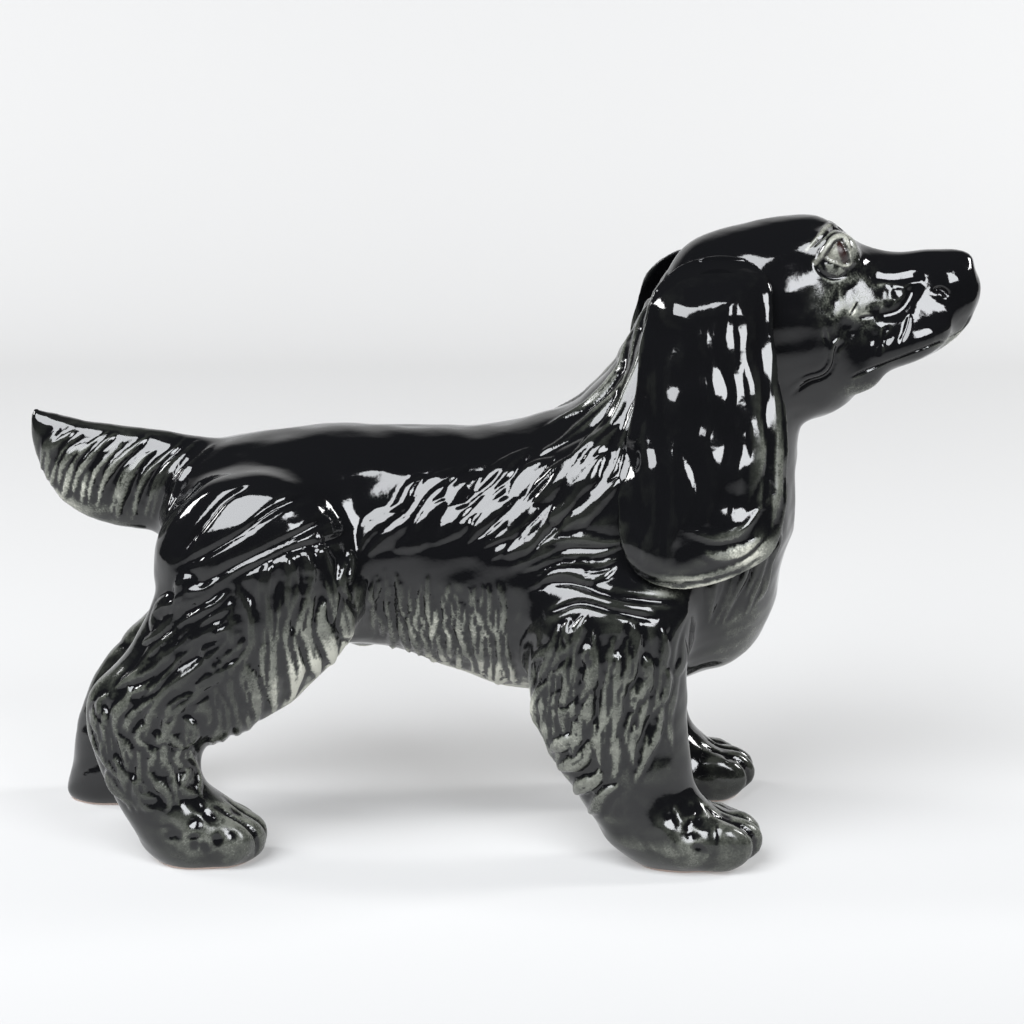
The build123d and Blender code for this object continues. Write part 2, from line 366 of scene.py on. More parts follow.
class Relief:
    """Heights drawn over a skin. Locks stand up and grooves go in, all in millimetres."""

    def __init__(self, obj, skin):
        points, _, normals = points_of(obj.data)
        fold = np.where(points[:, 1:2] > 0, -1.0, 1.0) * (0, 1, 0) + (1, 0, 1)
        self.order = np.argsort(points[:, 0])
        self.points, self.normals = (points * fold)[self.order], (normals * fold)[self.order]
        self.locks, self.grooves = np.zeros(len(points)), np.zeros(len(points))
        self.skin = skin

    def measure(self, path, reach):
        """The points near a path, how far along it they lie from 0 to 1, and how far to its side."""
        low, high = path.min(0) - reach, path.max(0) + reach
        first, last = np.searchsorted(self.points[:, 0], (low[0], high[0]))
        box = ((self.points[first:last, 1:] > low[1:]) & (self.points[first:last, 1:] < high[1:])).all(1)
        chosen = np.nonzero(box)[0] + first
        places, step = self.points[chosen], np.diff(path, axis=0)
        lengths = np.linalg.norm(step, axis=1) + 1e-9
        share = ((places[:, None] - path[:-1]) * step).sum(2) / lengths**2
        off = places[:, None] - (path[:-1] + np.clip(share, 0, 1)[..., None] * step)
        distance = np.linalg.norm(off, axis=2)
        best = distance.argmin(1)
        each = np.arange(len(chosen))
        run = np.concatenate([[0], np.cumsum(lengths)])
        along = (run[best] + np.clip(share[each, best], 0, 1) * lengths[best]) / run[-1]
        turned = (np.cross(step[best], self.normals[chosen]) * off[each, best]).sum(1)
        return chosen, along, np.sign(turned) * distance[each, best]

    def lock(self, path, width, height, strands=2.0, lean=0.0, root=0.35, tip=0.45):
        """A low ridge of hair. Its width opens over the root and closes over the tip."""
        chosen, along, side = self.measure(path, width)
        shape = np.minimum(1, along / root) ** 0.7 * np.minimum(1, (1 - along) / tip) ** 0.8
        v = side / (width / 2 * shape + 0.05)
        inside = np.abs(v) < 1
        v, shape, chosen = v[inside], shape[inside], chosen[inside]
        combed = 1 + 0.13 * np.cos(np.pi * strands * v + dice.uniform(0, 6.28)) * (1 - v * v)
        rise = height * shape**0.9 * (1 - v * v) ** 0.8 * (1 + lean * v) * combed
        self.locks[chosen] = np.maximum(self.locks[chosen], rise)

    def scratches(self, guides, lines, width, depth, sheet=NEAR, sway=0.8):
        """Fine furrows drawn along the hair with a point, between the same guides."""
        drawn_guides = [even(guide) for guide in guides]
        for _ in range(lines):
            n = dice.integers(len(drawn_guides) - 1)
            share = dice.uniform()
            line = drawn_guides[n] * (1 - share) + drawn_guides[n + 1] * share
            first = dice.integers(0, 9)
            part = swayed(line[first : first + 8], sway * dice.uniform(0.4, 1.2), 0.8, dice.uniform())
            furrow = seen(part, sheet, self.skin)
            self.groove(furrow, width * dice.uniform(0.7, 1.4), depth * dice.uniform(0.5, 1.2), 0.4)

    def groove(self, path, width, depth, ends=0.2):
        """A soft furrow that fades out at its ends."""
        chosen, along, side = self.measure(path, width)
        fade = np.clip(np.minimum(along, 1 - along) / ends + 0.1, 0, 1) if ends else 1.0
        sink = depth * fade * np.exp(-((side / (width / 2)) ** 2) * 2)
        self.grooves[chosen] = np.maximum(self.grooves[chosen], sink)

    def comb(
        self, guides, locks, width, height, sheet=NEAR, spans=((0, 1),), sway=0.5, waves=1.2, strands=2.0
    ):
        """Locks from guide to guide, several to a gap. Each span is where along the guides a lock runs."""
        lines = [even(guide) for guide in guides]
        for first, second in zip(lines, lines[1:]):
            for n in range(locks):
                share = (n + 0.5 + dice.uniform(-0.28, 0.28)) / locks
                line = first * (1 - share) + second * share
                for start, end in spans:
                    start, end = np.clip((start, end) + dice.uniform(-0.16, 0.16, 2), -0.1, 1.1)
                    cut = np.linspace(start, end, 13) * (len(line) - 1)
                    part = np.array([np.interp(cut, np.arange(len(line)), column) for column in line.T]).T
                    part += np.clip(start, None, 0) * (line[4] - line[0]) * np.linspace(4, 0, 13)[:, None]
                    reach, turns = sway * dice.uniform(0.5, 1.3), waves * dice.uniform(0.7, 1.3)
                    part = swayed(part, reach, turns, dice.uniform())
                    size = dice.uniform(0.8, 1.2)
                    lean = dice.uniform(-0.45, 0.45)
                    self.lock(seen(part, sheet, self.skin), width * size, height * size, strands, lean)

    def press(self, obj, sink=0.5, rounds=22):
        """Moves the skin out by the locks and in by the grooves, keeping its size on the whole."""
        points, edges, normals = points_of(obj.data)
        raised, cut = np.empty_like(self.locks), np.empty_like(self.grooves)
        raised[self.order], cut[self.order] = self.locks, self.grooves
        level = raised
        for _ in range(rounds):
            level = mean_of_neighbours(level, edges)
        put_back(obj.data, points + normals * (raised - sink * level - cut)[:, None])


def lumps(obj, size, length, seed):
    """The unevenness that fingers leave: slow waves of a few lengths, in all directions."""
    points, _, normals = points_of(obj.data)
    points[:, 1] = np.abs(points[:, 1])
    roll_of = np.random.default_rng(seed)
    swell = np.zeros(len(points))
    for _ in range(14):
        way = roll_of.normal(size=3)
        way *= 2 * np.pi / (np.linalg.norm(way) * length * roll_of.uniform(0.7, 1.5))
        swell += np.sin(points @ way + roll_of.uniform(0, 6.28))
    points, _, normals = points_of(obj.data)
    put_back(obj.data, points + normals * (size * swell / 14**0.5)[:, None])


print("hair dice are set")

# %% [markdown]
# The coat, region by region. Each table below is a few guide lines, x and z of a few places on each,
# from the root of the hair to its tip. Creases at the hip and the shoulder are cut last.

# %% Coat of the body
TAIL_FAN = [
    [(-150, 141), (-155, 134), (-156, 126)],
    [(-140, 139), (-149, 131), (-153, 119)],
    [(-130, 138), (-141, 128), (-146, 113)],
    [(-119, 136.5), (-131, 126), (-136, 110.5)],
    [(-108, 135), (-120, 124), (-125, 108)],
    [(-98, 133), (-109, 120), (-114, 105)],
]
THIGH_FRONT = [
    [(-49, 110), (-46, 97), (-47, 84), (-52, 70)],
    [(-60, 110), (-60, 94), (-61, 80), (-60, 63)],
    [(-74, 107), (-73, 90), (-74, 72), (-71, 52)],
    [(-86, 96), (-86, 78), (-87, 61), (-84, 44)],
    [(-98, 76), (-96, 62), (-95, 49), (-97, 38)],
]
THIGH_REAR = [
    [(-99, 99), (-105, 95), (-111, 89), (-114, 82)],
    [(-92, 96), (-101, 88), (-112, 79), (-121, 70)],
    [(-86, 90), (-97, 81), (-110, 70), (-122, 61), (-132, 55)],
    [(-84, 82), (-94, 73), (-106, 63), (-117, 56), (-127, 46)],
    [(-86, 70), (-93, 62), (-102, 54), (-111, 46)],
]
HOCK = [
    [(-134, 60), (-136, 48), (-133, 36), (-127, 20)],
    [(-128, 60), (-130, 48), (-127, 35), (-121, 18)],
    [(-120, 58), (-121, 46), (-118, 32), (-113, 19)],
    [(-112, 52), (-111, 42), (-109, 32), (-105, 22)],
    [(-104, 48), (-102, 41), (-101, 33), (-98, 24)],
]
FLANK = [
    [(35, 128), (27, 118), (15, 108), (5, 100)],
    [(28, 138), (16, 126), (4, 112), (-6, 104)],
    [(10, 140), (-2, 128), (-14, 116), (-24, 108)],
    [(-10, 135), (-20, 125), (-32, 114), (-42, 106)],
    [(-28, 134), (-37, 124), (-47, 114), (-52, 104)],
]
FRINGE = [
    [(-44, 100), (-44, 90), (-42, 76)],
    [(-30, 98), (-30, 86), (-28, 70)],
    [(-15, 95), (-14, 82), (-11, 64)],
    [(0, 94), (1, 80), (4, 62)],
]
NECK_SIDE = [
    [(46, 188), (40, 172), (30, 157), (15, 147)],
    [(49, 190), (45, 172), (38, 152), (25, 136), (10, 128)],
    [(51, 188), (48, 170), (44, 150), (36, 132), (28, 120)],
    [(56, 180), (53, 160), (50, 138), (46, 118)],
]
SHOULDER = [
    [(8, 112), (20, 114), (34, 112), (44, 116)],
    [(8, 100), (18, 104), (30, 104), (38, 108)],
    [(10, 95), (18, 98), (30, 98), (36, 102)],
]
FEATHERING = [
    [(14, 82), (10, 67), (9, 52), (14, 36)],
    [(24, 84), (19, 67), (17, 50), (20, 31)],
    [(34, 84), (30, 66), (27, 48), (28, 26)],
    [(44, 82), (42, 64), (39, 46), (37, 24)],
    [(54, 80), (52, 62), (50, 46), (47, 28)],
]
LEG_EDGE = [
    [(28, 88), (18, 81), (8, 77)],
    [(26, 70), (17, 63), (9, 59)],
    [(26, 53), (18, 46), (12, 43)],
    [(31, 37), (25, 30), (19, 26)],
    [(38, 24), (33, 18), (28, 14)],
]
SHIN = [
    [(57, 84), (53, 70), (50, 58), (50, 44)],
    [(61, 80), (58, 66), (56, 52), (57, 38)],
]
APRON = [
    [(66, 128), (71, 110), (71, 92), (66, 70)],
    [(80, 130), (84, 112), (84, 94), (77, 74)],
    [(92, 132), (94, 114), (93, 98), (86, 80)],
]
SHOULDER_CREASES = [
    [(8, 92), (12, 96.5), (22, 97), (32, 93), (45, 91), (56, 90)],
    [(14, 86), (24, 90), (36, 87), (50, 84)],
]
HIP_CREASES = [
    [(-103, 108), (-97, 116), (-90, 124), (-80, 130)],
    [(-107, 101), (-97, 106), (-85, 113), (-74, 121), (-62, 126)],
    [(-100, 95), (-90, 101), (-78, 107), (-66, 113), (-57, 118)],
    [(-90, 97), (-78, 103), (-68, 107.5), (-58, 110), (-50, 113)],
]

base = BVHTree.FromPolygons(base_points, base_faces)
coat = Relief(dog, base)
coat.comb(TAIL_FAN, 3, 4.4, 1.6, MIDDLE, sway=0.4, strands=1.5)
coat.comb(THIGH_FRONT, 2, 8.5, 1.9, spans=((0, 0.6), (0.3, 1)), sway=2.0, waves=0.9)
coat.comb(THIGH_REAR, 2, 7.0, 2.2, spans=((0, 0.65), (0.4, 1)), sway=1.5)
coat.comb(HOCK, 2, 6.8, 2.0, spans=((0, 0.55), (0.3, 0.85), (0.55, 1)), sway=1.7)
coat.comb(FLANK, 2, 10.0, 1.5, spans=((0, 0.7), (0.35, 1)), sway=1.2, waves=1.0, strands=1.5)
coat.comb(FRINGE, 7, 3.2, 1.2, spans=((0, 0.6), (0.35, 1)), sway=0.6)
coat.comb(NECK_SIDE, 2, 7.5, 1.7, MIDDLE, spans=((0, 0.55), (0.4, 1)), sway=0.8)
coat.comb(SHOULDER, 2, 5.0, 1.4, spans=((0, 1),), sway=0.7)
coat.comb(FEATHERING, 2, 7.0, 2.0, spans=((0, 0.45), (0.2, 0.7), (0.45, 1)), sway=1.8, waves=0.9)
coat.comb(LEG_EDGE, 2, 6.0, 2.3, spans=((0, 1),), sway=0.9)
coat.comb(SHIN, 2, 5.0, 0.7, spans=((0, 0.6), (0.4, 1)), sway=0.8)
coat.comb(APRON, 3, 6.0, 1.6, MIDDLE, spans=((0, 0.55), (0.35, 1)), sway=0.9)
COMBED = [(THIGH_FRONT, 26), (THIGH_REAR, 26), (HOCK, 26), (FLANK, 14), (FRINGE, 16), (FEATHERING, 34)]
for region, lines in COMBED:
    coat.scratches(region, lines, 1.7, 0.8)
for crease in HIP_CREASES + SHOULDER_CREASES:
    coat.groove(seen(even(crease), NEAR, base), 3.4, 1.1)
print("locks on", int((coat.locks > 0).sum()), "points")

# %% [markdown]
# ## Paws
# The notches between the toes closed up when the skin was evened, so they are cut again with a
# modelling tool. Soft dabs beside them break up the shine on the paws.

# %% Toes
def dabbed(relief, low, high, count, length, sheet, width, depth):
    """Soft dents in all directions, between two corners x, z of a patch of the sheet."""
    for _ in range(count):
        dab = dice.uniform(low, high)
        stroke = dice.uniform(-length, length, 2)
        path = seen(even([dab - stroke, dab, dab + stroke]), sheet, base)
        relief.groove(path, width, depth, 0.5)


for spread in (-7.0, 0.0, 7.0):
    y = -(FORE_STANCE + 0.5 + spread)
    tip = 84.5 - abs(spread) * 0.25
    cleft = [(tip, y, 1), (tip, y, 9), (tip - 6, y, 16), (tip - 17, y * 0.98, 22)]
    coat.groove(laid(even(cleft), base), 2.4, 1.2)
    y = -(HIND_STANCE + 0.9 * spread)
    tip = -80.5 - abs(spread) * 0.25
    cleft = [(tip, y, 1), (tip, y, 9), (tip - 5, y, 15), (tip - 15, y, 20)]
    coat.groove(laid(even(cleft), base), 2.2, 1.1)
dabbed(coat, (54, 5), (80, 22), 14, 4, NEAR, 6.0, 0.7)
dabbed(coat, (-116, 5), (-86, 20), 14, 4, NEAR, 6.0, 0.7)
print("toes cut, and the paws dabbed")

# %% [markdown]
# Now the drawing is pressed into the clay, and the whole is made a little uneven, as by fingers.

# %% Press
coat.press(dog)
lumps(dog, 0.22, 17.0, 5)
lumps(dog, 0.07, 7.0, 6)
smooth(dog, 1)
print("pressed")

# %% [markdown]
# ## Face
# The eye is a slanted, three-cornered opening under a raised lid, with a second ridge for the brow
# and a soft pouch below. A fold runs round the cheek and under it, the lips meet in a thin line near
# the chin, and a nostril is pricked into each side of the nose. It could all be cut from separate
# forms, but it is shallow, so it is drawn like the hair, after the skin here is made finer.

# %% Face
face_zone = bmesh.new()
face_zone.from_mesh(dog.data)
fine = [edge for edge in face_zone.edges if all(v.co.x > 0.096 and v.co.z > 0.146 for v in edge.verts)]
bmesh.ops.subdivide_edges(face_zone, edges=fine, cuts=1, smooth=0.0, use_grid_fill=True)
face_zone.to_mesh(dog.data)
face_zone.free()

LID = [
    (102.1, 196.3), (104.2, 198.6), (105.8, 201.3), (107.8, 204),
    (109.7, 205), (111.3, 204.7), (112.4, 203), (113.5, 200.4),
]
LID_CREASE = [(100.8, 200.8), (102.8, 203.1), (105.1, 205.6), (106.9, 207.1), (108.5, 207.5), (110.3, 206.6)]
BROW = [
    (99.2, 200.4), (101.5, 202.9), (103.3, 205.3), (105.1, 207.6),
    (107.4, 208.8), (109.7, 208), (111.2, 206.5), (113, 204.5),
]
OPENING = [
    (105.2, 198.5), (106.9, 200.9), (108.5, 203.2), (110.8, 203.7), (111.9, 201.7),
    (112.8, 199.3), (113.5, 196.3), (112.6, 195.4), (109.7, 196.2), (106.9, 197.2),
]
LOWER_LID = [(105, 198.4), (106.9, 197), (109.7, 195.9), (112.6, 195), (113.9, 196)]
POUCH = [(105, 196), (108.7, 194), (112.5, 193.4)]
POUCH_CREASE = [(102, 196.6), (102.6, 195), (104.2, 192.9), (106.9, 191.4), (109.7, 191.1), (113.1, 192)]
CHEEK = [(112, 171), (109.3, 168), (108.6, 163), (106, 159.3), (100.6, 157.2), (94.2, 152.6)]
LIPS = [(154, 179), (151.5, 173.4), (144, 169.8), (136.6, 166.8), (128.3, 163.4), (121, 160.6), (115, 158)]
NOSTRIL = [(141.5, 186.8), (143.6, 187.4), (145.6, 186.2), (146, 184.6)]
MUZZLE_HOLLOW = [(136, 190), (133.5, 184), (130, 180), (122, 178.5)]
BRIDGE_HOLLOW = [(119, 192), (128, 190.5), (138, 192.5)]
LIP_FOLDS = [[(127, 176), (125, 170), (124, 165)], [(134, 180), (133, 174), (131, 169)]]

RIDGES = [
    (BROW, 2.2, 0.55, 0, 0.3, 0.4),
    (LID, 2.4, 0.8, 0.3, 0.2, 0.15),
    (LOWER_LID, 1.1, 0.5, 0, 0.1, 0.1),
    (POUCH, 4.2, 0.8, 0, 0.3, 0.3),
    (np.array(CHEEK) + (-0.5, 0.7), 2.2, 0.6, 0, 0.2, 0.3),
]
HOLLOWS = [
    (LID_CREASE, 1.7, 0.8, 0.2),
    (POUCH_CREASE, 1.7, 0.8, 0.2),
    (np.array(CHEEK) + (0.7, -0.9), 2.2, 0.8, 0.2),
    (LIPS, 1.2, 0.7, 0.06),
    (NOSTRIL, 2.2, 1.6, 0.2),
    (MUZZLE_HOLLOW, 6.5, 1.1, 0.2),
    (BRIDGE_HOLLOW, 6.0, 0.8, 0.2),
    (LIP_FOLDS[0], 2.5, 0.5, 0.2),
    (LIP_FOLDS[1], 2.5, 0.5, 0.2),
]
face = Relief(dog, base)
for path, width, height, lean, root, tip in RIDGES:
    face.lock(seen(even(path), MIDDLE, base), width, height, 0, lean, root, tip)
for path, width, depth, ends in HOLLOWS:
    face.groove(seen(even(path), MIDDLE, base), width, depth, ends)
dabbed(face, (105, 168), (132, 190), 16, 5, MIDDLE, 6.5, 0.6)


def window(shape, places):
    """Which places x, z lie inside a closed outline, by counting the sides crossed on the way out."""
    inside = np.zeros(len(places), bool)
    for (x1, z1), (x2, z2) in zip(shape, shape[1:] + shape[:1]):
        spans = (z1 > places[:, 1]) != (z2 > places[:, 1])
        crossing = x1 + (places[:, 1] - z1) * (x2 - x1) / (z2 - z1 + 1e-12)
        inside ^= spans & (places[:, 0] < crossing)
    return inside


def as_drawn(points):
    """Where the eye sees points on the middle sheet, x and z, with the left side folded over."""
    folded = np.stack([points[:, 0], -np.abs(points[:, 1]), points[:, 2]], axis=1)
    eye = np.array(EYE)
    scale = -eye[1] / (folded[:, 1] - eye[1])
    return (eye + (folded - eye) * scale[:, None])[:, (0, 2)]


drawn = as_drawn(face.points)
near_eye = (face.points[:, 1] < -6) & (np.abs(drawn - (109.4, 199.5)).max(1) < 9)
opening = near_eye.copy()
opening[near_eye] = window(OPENING, drawn[near_eye])
face.locks[opening] = 0
bulge = 1 - (np.hypot((drawn[:, 0] - 109.6) / 5.2, (drawn[:, 1] - 199.3) / 5.2)) ** 2
face.grooves[opening] = 0.75 - 0.55 * np.clip(bulge[opening], 0, 1)
face.press(dog, sink=0.3, rounds=20)
smooth(dog, 1, 0.3)
print("face: the eye opening holds", int(opening.sum()), "points")

# %% [markdown]
# ## Stepping
# Up to here the dog stood square. The left hind foot is now swung back from the hock, and the left
# fore foot a little forward from the shoulder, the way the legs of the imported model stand.

# %% Left legs
points, _, _ = points_of(dog.data)
x, y, z = points.T
on_the_left = np.clip((y - 4) / 12, 0, 1)
swing = np.where(x < -30, -40.0 * np.clip(1 - z / 58, 0, 1), 0) * on_the_left
swing += np.where(x > -15, 5.0 * np.clip(1 - z / 95, 0, 1), 0) * on_the_left
points[:, 0] += swing
points[:, 2] = np.maximum(points[:, 2], 0)
put_back(dog.data, points)
print("the left hind paw stands back by", round(-swing.min(), 1), "mm")

# %% [markdown]
# ## Ears
# Each ear is a leaf of clay pressed on by its root. Its flat back lies on the plane of the packed
# ear's pad. A swept curve would give an even strap, so the leaf is an outline pushed out and then
# swelled by how far each point is from the rim. The root then tucks in to the skull. Long folds hang
# down the ear, and the hair at its foot curls.

# %% Ear leaf
def flats_of(seam):
    """The two flat faces of a layer of slip: their direction, and how far along it each lies."""
    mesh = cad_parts[seam].data
    way = np.array(max(mesh.polygons, key=lambda face: face.area).normal)
    piece_low, piece_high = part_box(seam.removesuffix("_slip"))
    seam_low, seam_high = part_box(seam)
    if np.dot(np.array(piece_low + piece_high) - np.array(seam_low + seam_high), way) < 0:
        way = -way
    runs = np.array([vertex.co for vertex in mesh.vertices]) @ way / MM
    return way, runs.min(), runs.max()


EAR_EDGE = [
    (77, 201), (82.5, 197), (84.7, 188.7), (85.6, 175), (87.2, 165), (88.8, 156.5), (90, 146.7),
    (90.3, 133), (89.4, 119), (86.6, 110.5), (80.5, 104), (71, 99.4), (61.5, 96.9), (54, 96.2),
    (46.5, 98.2), (40.4, 103), (37.3, 111), (36.8, 128), (40.5, 150), (43.6, 172), (46.6, 187),
    (54, 196.6), (65, 201),
]
way, inner, outer = flats_of("right_ear_slip")
up_the_ear = np.array((0, -way[2], way[1])) * (1 if way[1] > 0 else -1)


def on_the_ear(x, z, lift):
    """The place beside the dog that lies so far out from the ear's flat back."""
    run = (z - way[2] * (outer + lift)) / up_the_ear[2]
    return Vector((x, *(way[1:] * (outer + lift) + up_the_ear[1:] * run)))


LEAF = 6.4
leaf = bmesh.new()
outline = eased(EAR_EDGE + EAR_EDGE[:1], 4)[:-1]
bottom = [leaf.verts.new(on_the_ear(x, z, 0.0)) for x, z in outline]
back = leaf.faces.new(bottom)
raised = bmesh.ops.extrude_face_region(leaf, geom=[back])
top = [part for part in raised["geom"] if isinstance(part, bmesh.types.BMVert)]
bmesh.ops.translate(leaf, vec=way * LEAF, verts=top)
bmesh.ops.recalc_face_normals(leaf, faces=leaf.faces)
ear = remeshed(leaf, "right_ear", VOXEL * 1.15)
smooth(ear, 5, 0.6)

points, edges, normals = points_of(ear.data)
x, y, z = points.T
outward = points @ way - outer
rim = even(EAR_EDGE + EAR_EDGE[:1], 600)
from_rim = np.concatenate([
    np.linalg.norm(part[:, None] - rim, axis=2).min(1)
    for part in np.array_split(points[:, (0, 2)], 120)
])
dome = 1.9 + LEAF * (1 - np.exp(-((from_rim / 7.5) ** 1.4)))
swell = np.clip(outward / LEAF, 0, 1) * (dome - LEAF)
root_in = -7.0 * np.clip((z - 183) / 18, 0, 1) ** 1.6
rear_in = -6.0 * np.clip((56 - x) / 20, 0, 1) ** 1.5 * np.clip((z - 112) / 30, 0, 1)
put_back(ear.data, points + way * (swell + root_in + rear_in)[:, None])
print("ear:", len(ear.data.vertices), "points")

# %% [markdown]
# The folds of the ear: a rolled hem down the front, long hanging ridges inside it, curls at the foot.

# %% Folds of the ear
EAR_SHEET = -34.0
HEM = [(80, 197), (83.5, 189), (85, 170), (87, 150), (88.4, 132), (86.5, 114)]
HEM_CREASE = [(79.5, 189), (81.3, 170), (83, 150), (84.5, 132), (83, 118)]
FOOT_HEM = [(86, 111), (78, 103.5), (68, 99.2), (57, 97.4), (46, 99.5), (39.5, 105)]
LONG_FOLDS = [
    [(80, 188), (80.5, 172), (81.5, 155), (83, 138), (83, 122)],
    [(75, 184), (75.5, 168), (77, 150), (77.5, 133), (76, 118)],
    [(66, 180), (68, 165), (69.5, 148), (69.5, 132), (68, 116)],
    [(57, 176), (59, 162), (61, 146), (61.5, 130), (61, 113)],
    [(49, 172), (49, 158), (51, 142), (53, 127), (54, 112)],
]
FOOT_CURLS = [
    [(42, 150), (43, 132), (44, 116), (43, 101)],
    [(49, 152), (50, 134), (52, 116), (50.5, 99)],
    [(57, 150), (57.5, 132), (59, 114), (58, 98)],
]
SWIRLS = [
    [(60, 116), (68, 114), (77, 118), (84, 127)],
    [(60, 110), (70, 106.5), (79, 110), (86, 119)],
    [(62, 105), (70, 102.5), (78, 104.5), (84, 110)],
]
leaf_tree = BVHTree.FromPolygons(*[
    [Vector(point) for point in points_of(ear.data)[0]],
    [list(face.vertices) for face in ear.data.polygons],
])
folds = Relief(ear, leaf_tree)
folds.comb(LONG_FOLDS, 1, 8.5, 0.7, EAR_SHEET, spans=((0, 0.62), (0.4, 1)), sway=1.1, strands=0.8)
folds.comb(FOOT_CURLS, 1, 7.0, 0.8, EAR_SHEET, sway=0.8)
folds.comb(SWIRLS, 1, 4.5, 1.2, EAR_SHEET, sway=0.4)
folds.lock(seen(even(HEM), EAR_SHEET, leaf_tree), 4.0, 0.7, 0, 0.3, 0.1, 0.12)
folds.lock(seen(even(FOOT_HEM, 24), EAR_SHEET, leaf_tree), 2.6, 0.6, 0, 0, 0.1, 0.1)
folds.groove(seen(even(HEM_CREASE), EAR_SHEET, leaf_tree), 2.4, 0.6)
inner_side = folds.normals @ way < 0
folds.locks[inner_side] = 0
folds.grooves[inner_side] = 0
folds.press(ear, 0.4, 20)
lumps(ear, 0.4, 15.0, 8)
smooth(ear, 1)
print("folds laid on the ear")

# %% [markdown]
# ## Where the glaze breaks
# A glossy black glaze runs off the ridges while it is molten and gathers in the hollows. How far a
# point stands out from its surroundings says how thin the glaze is there. It could be painted by
# hand, but measured it follows every lock. The front of the thigh, the legs' feathering and the feet
# of the ears were also sprayed paler, before firing, and the underside is made paler too. A zone is
# its centre, its reach and its strength.

# %% Thickness of the glaze
PALE_ZONES = [
    ((-64, 32, 67), (24, 18, 26), 1.12),
    ((-18, 30, 78), (34, 18, 16), 0.62),
    # The underside of the belly, made paler.
    ((-22, 0, 57), (36, 36, 8.5), 5.0),
    ((30, 36, 50), (26, 20, 34), 0.75),
    ((60, 36, 10), (30, 20, 16), 0.5),
    ((-112, 31, 46), (32, 18, 32), 0.55),
    ((-98, 31, 12), (26, 18, 14), 0.55),
    ((-137, 0, 122), (26, 12, 14), 0.95),
    ((112, 15, 186), (13, 12, 12), 1.0),
    ((108, 14, 201), (9, 10, 9), 0.8),
    ((119, 0, 156), (14, 16, 5), 1.5),
    ((134, 0, 161.5), (12, 16, 5), 1.5),
    ((148, 0, 169), (9, 14, 6), 1.5),
    ((66, 47, 96.5), (17, 9, 5), 1.5),
    ((77, 47, 108), (12, 9, 8), 0.75),
    ((85, 40, 135), (6, 12, 30), 0.4),
    ((76, 10, 76), (28, 26, 26), 0.5),
    ((30, 20, 108), (26, 20, 18), 0.4),
    ((34, 10, 165), (14, 22, 30), 0.4),
]


def set_values(mesh, name, values):
    """Stores one number for each point of a mesh, for a finish to read."""
    layer = mesh.attributes.new(name, "FLOAT", "POINT")
    layer.data.foreach_set("value", values.astype(np.float32))


def standing_out(points, edges, normals, rounds, full):
    """How far points stand out over so many rings of neighbours, as a share of full."""
    level = points
    for _ in range(rounds):
        level = mean_of_neighbours(level, edges)
    return np.clip(((points - level) * normals).sum(1) / full, -1.5, 1.5)


def break_of_glaze(obj):
    """How thin and pale the glaze is over each point, 0 in the hollows to 1 and more on pale ridges."""
    points, edges, normals = points_of(obj.data)
    rings = 1.0
    fine = standing_out(points, edges, normals, round(5 * rings), 0.055)
    broad = standing_out(points, edges, normals, round(21 * rings), 0.28)
    sprayed = np.zeros(len(points))
    folded = np.stack([points[:, 0], np.abs(points[:, 1]), points[:, 2]], axis=1)
    for centre, radii, strength in PALE_ZONES:
        far_out = (((folded - centre) / radii) ** 2).sum(1)
        sprayed = np.maximum(sprayed, strength * np.exp(-far_out))
    thin = sprayed * (0.62 + 0.25 * broad + 0.55 * fine) + 0.2 * np.clip(fine - 0.9, 0, 1)
    return np.clip(thin, 0, 1.6), np.clip(sprayed, 0, 1.5)


for piece in (dog, ear):
    thin, sprayed = break_of_glaze(piece)
    set_values(piece.data, "thin", thin)
    set_values(piece.data, "sprayed", sprayed)
points, _, _ = points_of(dog.data)
drawn = as_drawn(points)
on_face = (np.abs(points[:, 1]) > 6) & (points[:, 0] > 95) & (points[:, 2] > 185)
in_opening = on_face.copy()
in_opening[on_face] = window(OPENING, drawn[on_face])
slant = (drawn[:, 0] - 110.9) + 0.33 * (drawn[:, 1] - 199.7)
iris = np.clip(1.6 - np.hypot(slant / 1.5, (drawn[:, 1] - 199.6) / 4.6) ** 2 * 1.4, 0, 1) * in_opening
white = in_opening * 0.6 * (1 - iris)


def near_line(path, width):
    """1 on a drawn line and 0 beyond its width."""
    line, reach = even(path, 24), np.full(len(points), 9.0)
    chosen = np.nonzero(on_face)[0]
    gaps = np.linalg.norm(drawn[chosen][:, None] - line, axis=2).min(1)
    reach[chosen] = gaps
    return np.clip(1.5 - reach / width, 0, 1)


lid_rim = near_line(OPENING[:4], 0.5) + near_line(OPENING[3:7], 0.4)
pale_rim = 0.9 * near_line(LOWER_LID, 0.35) + 0.55 * near_line(LID, 0.8) + 0.45 * near_line(BROW, 0.6)
set_values(dog.data, "iris", iris)
set_values(dog.data, "eye_rim", np.clip(lid_rim * (1 - iris), 0, 1))
set_values(dog.data, "lid", np.clip(np.maximum(white, pale_rim), 0, 1))
for name in ("iris", "eye_rim", "lid"):
    set_values(ear.data, name, np.zeros(len(ear.data.vertices)))
print("glaze is thin on", int((thin > 0.5).mean() * 100), "percent of the ear")

# %% [markdown]
# ## Cutting along the seams
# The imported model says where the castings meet, so the skin is cut along the two faces of each layer
# of slip, and every piece is closed with a flat cap. The shading of the whole is kept for the parts,
# so that the glaze runs over the seams without a break, as it does on the real thing.

